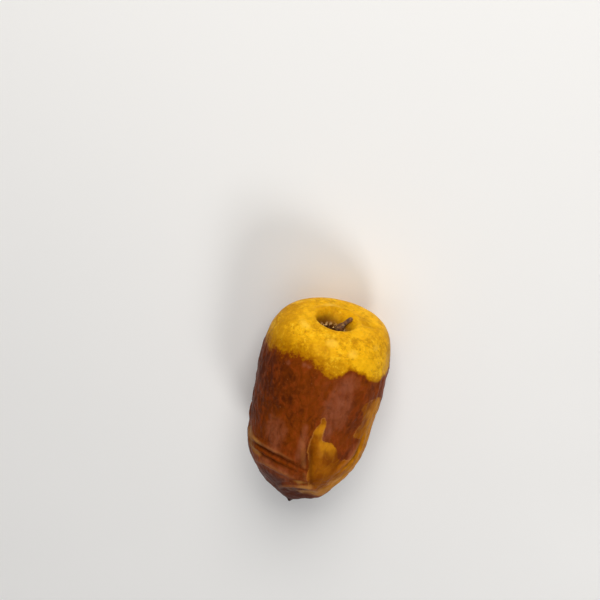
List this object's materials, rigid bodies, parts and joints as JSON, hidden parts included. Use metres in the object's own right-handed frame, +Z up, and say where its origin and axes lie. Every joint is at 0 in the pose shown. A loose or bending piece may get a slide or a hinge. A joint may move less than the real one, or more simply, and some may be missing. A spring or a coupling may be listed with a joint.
{
  "type": "saidi date",
  "caption": "Half-ripe date lying on its side: plump yellow stalk end with a sunken socket, brown wrinkled skin towards the tip, and a small dry nib.",
  "frame": {"origin": "under the middle of the date's bounding box, on the surface that it lies on", "axes": "+Y along the fruit from the stalk end to the tip, +Z up, +X to the fruit's left when seen from above with the stalk end away"},
  "size_m": [0.0246, 0.0418, 0.0231],
  "materials": {
    "fruit_skin": "thin glossy fruit skin, yellow at the stalk end and red-brown with amber patches towards the tip",
    "stalk_fibre": "matt dry dark brown fibre"
  },
  "bodies": {
    "root": {"date_fruit": "fruit_skin", "stalk_scrap": "stalk_fibre"}
  },
  "joints": []
}
